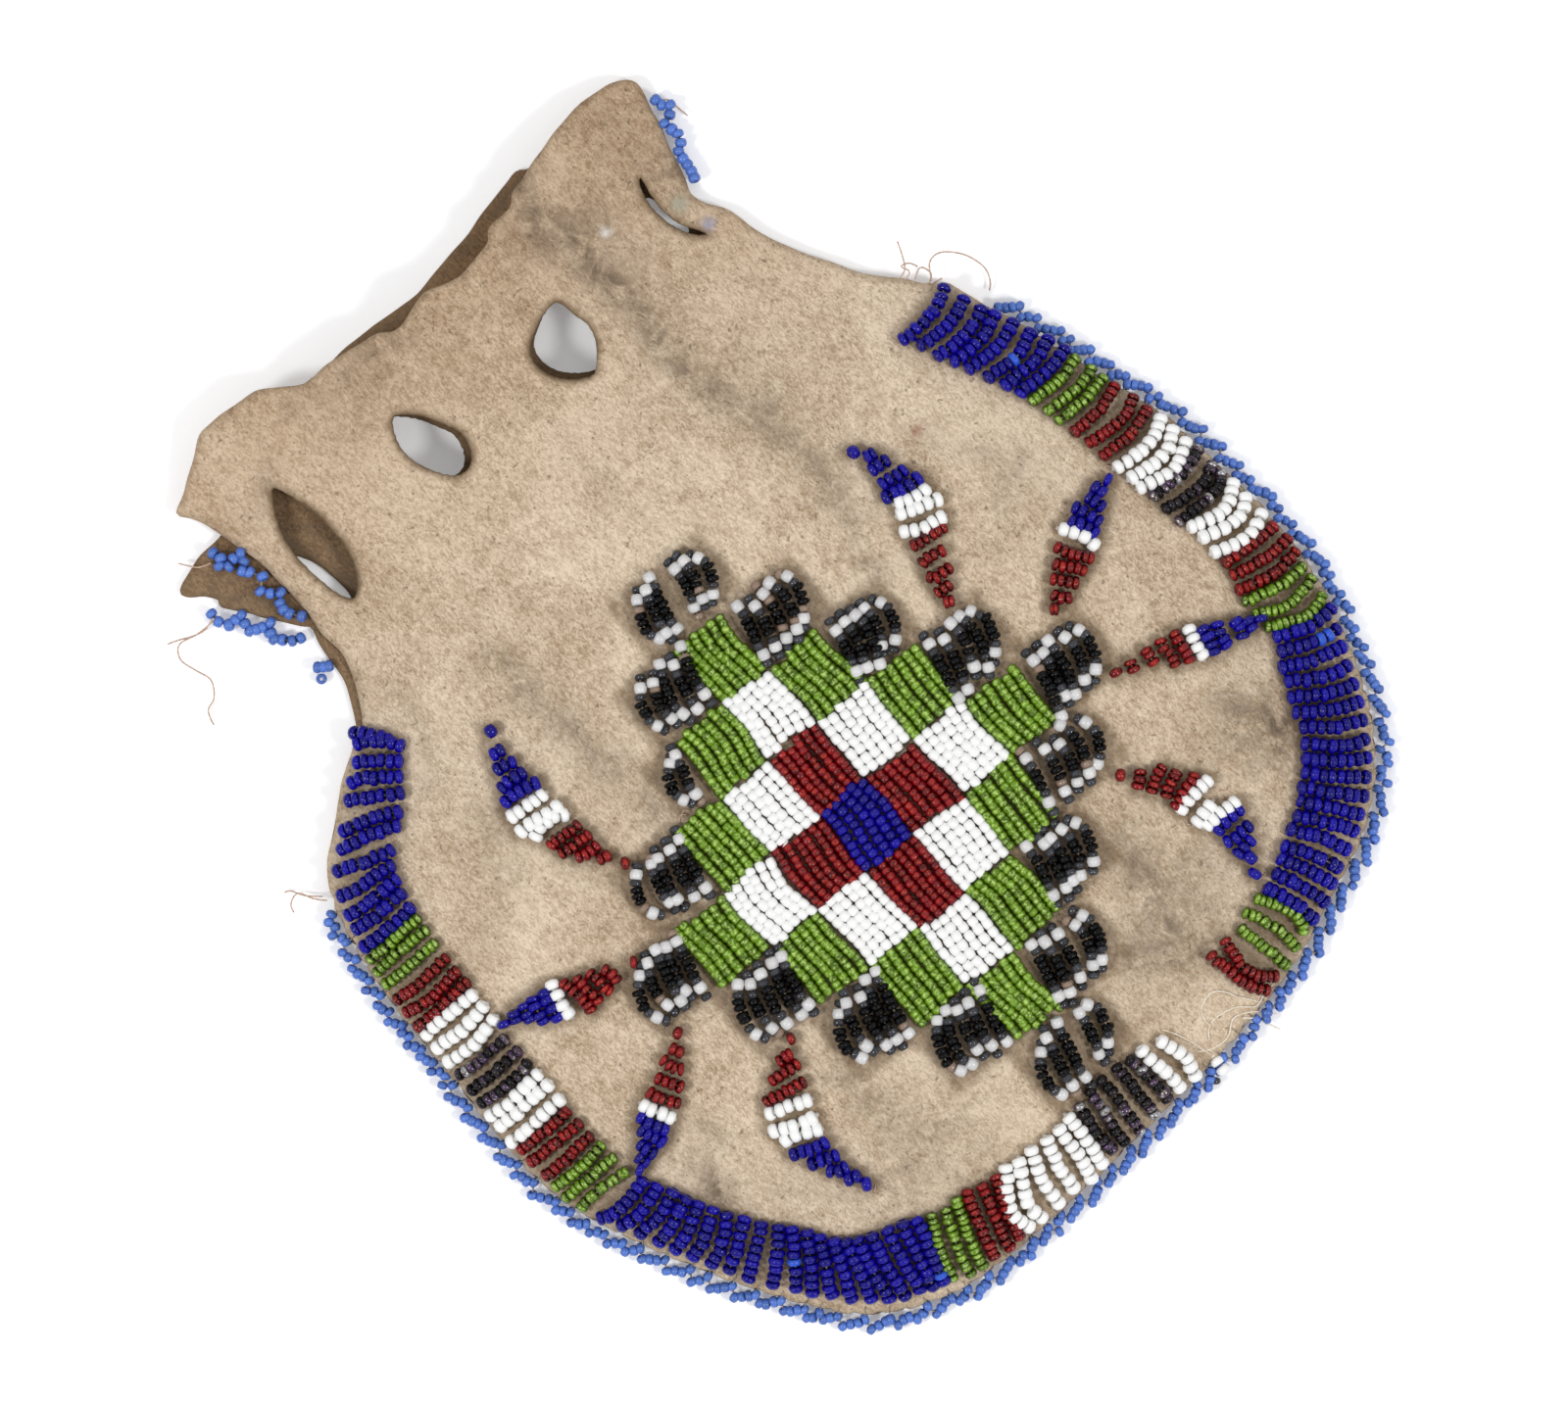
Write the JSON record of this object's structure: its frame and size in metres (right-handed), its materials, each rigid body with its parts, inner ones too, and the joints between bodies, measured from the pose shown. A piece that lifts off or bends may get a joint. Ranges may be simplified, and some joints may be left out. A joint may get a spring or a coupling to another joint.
{
  "type": "beaded medicine bag",
  "caption": "Flat hide pouch with a flared open neck, a beaded stepped medallion with petals and rays, a striped beaded rim and bead edging.",
  "frame": {"origin": "underside of the back panel, below the centre of the beaded medallion", "axes": "+X to the right, +Y towards the mouth, +Z out of the beadwork; the bag lies on its back on z = 0"},
  "size_m": [0.1739, 0.1978, 0.0128],
  "materials": {
    "hide": "brain-tanned suede, worn and grimy on its folds",
    "cobalt_beads": "opaque glossy glass seed beads",
    "green_beads": "translucent leaf green glass seed beads",
    "red_beads": "translucent ruby glass seed beads",
    "white_beads": "opaque white glass seed beads",
    "black_beads": "opaque black glass seed beads, iridescent in places",
    "sky_beads": "satin light blue glass seed beads",
    "pearl_beads": "pearl and clear glass seed beads",
    "thread": "waxed sewing thread and sinew"
  },
  "bodies": {
    "root": {"front_panel": "hide", "back_panel": "hide", "lane_1": "black_beads", "lane_2": "green_beads", "lane_3": "green_beads", "lane_4": "white_beads", "lane_5": "white_beads", "lane_6": "white_beads", "lane_7": "green_beads", "lane_8": "green_beads", "lane_9": "black_beads", "ray_upper_left": "cobalt_beads", "ray_upper_right": "cobalt_beads", "ray_left_upper": "cobalt_beads", "ray_left_lower": "cobalt_beads", "ray_right_upper": "cobalt_beads", "ray_right_lower": "cobalt_beads", "ray_lower_left": "cobalt_beads", "ray_lower_right": "cobalt_beads", "rim_01_cobalt": "cobalt_beads", "rim_02_green": "green_beads", "rim_03_red": "red_beads", "rim_04_white": "white_beads", "rim_05_black": "black_beads", "rim_06_white": "white_beads", "rim_07_red": "red_beads", "rim_08_green": "green_beads", "rim_09_cobalt": "cobalt_beads", "rim_10_green": "green_beads", "rim_11_red": "red_beads", "rim_12_white": "white_beads", "rim_13_black": "black_beads", "rim_14_white": "white_beads", "rim_15_red": "red_beads", "rim_16_green": "green_beads", "rim_17_cobalt": "cobalt_beads", "rim_18_green": "green_beads", "rim_19_red": "red_beads", "rim_20_white": "white_beads", "rim_21_black": "black_beads", "rim_22_white": "white_beads", "rim_23_red": "red_beads", "rim_24_green": "green_beads", "rim_25_cobalt": "cobalt_beads", "edging_seam": "sky_beads", "edging_top_right": "sky_beads", "edging_left_front": "sky_beads", "edging_left_back": "sky_beads", "edging_loop": "sky_beads"}
  },
  "joints": []
}
